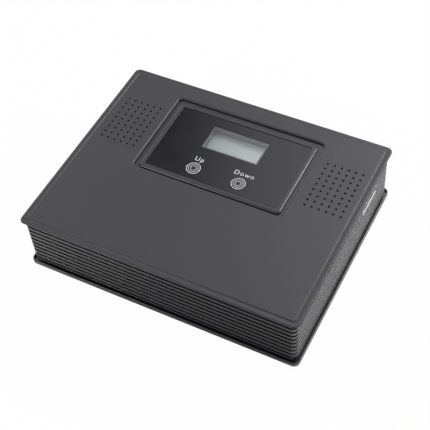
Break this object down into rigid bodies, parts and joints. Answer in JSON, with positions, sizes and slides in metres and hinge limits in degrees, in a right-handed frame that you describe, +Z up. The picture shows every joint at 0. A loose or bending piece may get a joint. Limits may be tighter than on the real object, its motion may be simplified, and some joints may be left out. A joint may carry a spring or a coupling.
{
  "type": "antenna tuner",
  "caption": "Low ribbed desktop radio tuner box with a framed glossy panel holding a small display and two keys, vent fields and rear coaxial sockets.",
  "frame": {"origin": "centre of the bounding box's footprint, on the surface that the feet stand on", "axes": "+X to the right along the long front edge, +Y to the back with the sockets, +Z up"},
  "size_m": [0.24, 0.2042, 0.0576],
  "materials": {
    "lid_plastic": "fine satin texture",
    "body_plastic": "satin, ribbed",
    "base_plastic": "satin",
    "frame_plastic": "satin",
    "gloss_panel": "high gloss",
    "pale_frame": "satin",
    "lens": "clear",
    "display_glass": "pale grey-green",
    "light_guide": "milky white",
    "rubber": "matte",
    "circuit_board": "green solder mask",
    "steel": "plated",
    "nickel": "nickel plate",
    "brass": "bright",
    "rear_paint": "fine black texture",
    "fluoropolymer": "waxy white",
    "relay_case": "moulded blue",
    "capacitor_dip": "dipped brown",
    "chip_black": "moulded",
    "coil_wire": "enamelled copper",
    "sleeve": "shrink sleeve",
    "ribbon": "grey",
    "inner_plastic": "black"
  },
  "bodies": {
    "case": {"lid": "lid_plastic", "body": "body_plastic", "base": "base_plastic", "display_frame": "frame_plastic", "display_panel": "gloss_panel", "window_frame": "pale_frame", "window_lens": "lens", "display_cell": "display_glass", "display_light_guide": "light_guide", "foot_front_left": "rubber", "foot_front_right": "rubber", "foot_back_left": "rubber", "foot_back_right": "rubber", "main_board": "circuit_board", "display_board": "circuit_board", "control_port_board": "circuit_board", "case_screw_front_left": "steel", "case_screw_front_right": "steel", "case_screw_back_left": "steel", "case_screw_back_right": "steel", "board_screw_front_left": "steel", "board_screw_front_right": "steel", "board_screw_back_left": "steel", "board_screw_back_right": "steel", "rear_panel_screw_left": "steel", "rear_panel_screw_right": "steel", "rf_output_shell": "nickel", "rf_input_shell": "nickel", "rf_output_nut": "nickel", "rf_input_nut": "nickel", "power_jack_nut": "nickel", "control_port_shell": "nickel", "sensor_shield": "nickel", "rf_output_contact": "brass", "rf_input_contact": "brass", "ground_stud": "brass", "ground_nut": "brass", "rear_panel": "rear_paint", "rf_output_insulator": "fluoropolymer", "rf_input_insulator": "fluoropolymer", "inductor_relays": "relay_case", "capacitor_relays": "relay_case", "tuning_capacitors": "capacitor_dip", "controller_chip": "chip_black", "voltage_regulator": "chip_black", "coil_large": "coil_wire", "coil_medium": "coil_wire", "coil_small": "coil_wire", "supply_capacitor": "sleeve", "power_lead": "sleeve", "display_ribbon": "ribbon", "control_port_ribbon": "ribbon", "key_switch_up": "inner_plastic", "key_switch_down": "inner_plastic", "power_jack": "inner_plastic", "control_port_insert": "inner_plastic"},
    "key_up": {"key_up": "gloss_panel", "switch_plunger_up": "inner_plastic"},
    "key_down": {"key_down": "gloss_panel", "switch_plunger_down": "inner_plastic"}
  },
  "joints": [
    {"name": "key_up_press", "type": "slide", "parent": "case", "child": "key_up", "axis": [0, 0, -1], "range_m": [0, 0.0006], "stiffness_N_per_m": 1500, "springref_m": -0.0003},
    {"name": "key_down_press", "type": "slide", "parent": "case", "child": "key_down", "axis": [0, 0, -1], "range_m": [0, 0.0006], "stiffness_N_per_m": 1500, "springref_m": -0.0003}
  ]
}
